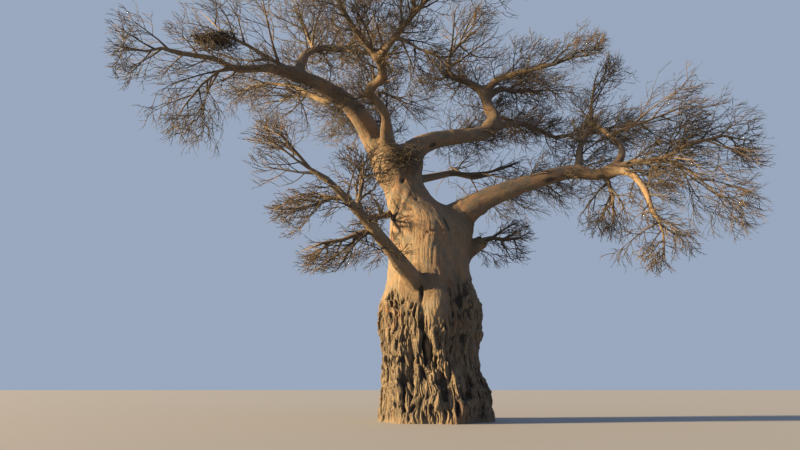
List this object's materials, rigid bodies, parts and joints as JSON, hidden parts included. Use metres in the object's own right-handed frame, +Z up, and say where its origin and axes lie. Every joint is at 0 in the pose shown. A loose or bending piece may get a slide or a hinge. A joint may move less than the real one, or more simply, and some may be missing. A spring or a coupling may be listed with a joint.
{
  "type": "baobab tree",
  "caption": "Leafless baobab with a swollen, gouged trunk from a flat cut at ground level, wide spreading boughs and masses of bare twigs.",
  "frame": {"origin": "middle of the flat cut under the trunk, at ground level", "axes": "+Z up, +X to the right as the tree is seen in its usual view and along its widest spread, +Y away from that view"},
  "size_m": [26.1505, 21.6038, 20.8875],
  "materials": {
    "bark": "dry smooth to deeply gouged bark",
    "twigs": "dry bare twigs"
  },
  "bodies": {
    "root": {"trunk": "bark", "left_bough": "bark", "upper_bough": "bark", "centre_bough": "bark", "right_bough": "bark", "low_left_bough": "bark", "rear_left_bough": "bark", "rear_bough": "bark", "rear_right_bough": "bark", "rear_low_bough": "bark", "stub_bough": "bark", "left_reach": "bark", "left_rise": "bark", "left_under": "bark", "riser_bough": "bark", "shelf_bough": "bark", "upper_left": "bark", "upper_right": "bark", "upper_fork": "bark", "centre_top": "bark", "front_left": "bark", "right_loop": "bark", "right_rise": "bark", "right_reach": "bark", "right_drop": "bark", "twigs_left_end": "twigs", "twigs_left_droop": "twigs", "twigs_left_upper": "twigs", "twigs_left_crown": "twigs", "twigs_left_rise": "twigs", "twigs_left_under": "twigs", "twigs_middle_crown": "twigs", "twigs_centre_top": "twigs", "twigs_front_rise": "twigs", "twigs_front_left": "twigs", "twigs_centre_side": "twigs", "twigs_upper_left": "twigs", "twigs_upper_back": "twigs", "twigs_upper_right": "twigs", "twigs_upper_fork": "twigs", "twigs_shelf": "twigs", "twigs_right_loop": "twigs", "twigs_right_crest": "twigs", "twigs_right_high": "twigs", "twigs_right_end": "twigs", "twigs_right_low": "twigs", "twigs_right_drop": "twigs", "twigs_right_hang": "twigs", "twigs_low_end": "twigs", "twigs_low_side": "twigs", "twigs_low_hang": "twigs", "twigs_low_rise": "twigs", "twigs_back": "twigs", "twigs_back_left": "twigs", "twigs_stub": "twigs", "twigs_rear_left": "twigs", "twigs_rear_side": "twigs", "twigs_rear": "twigs", "twigs_rear_right": "twigs", "twigs_rear_low": "twigs"}
  },
  "joints": []
}
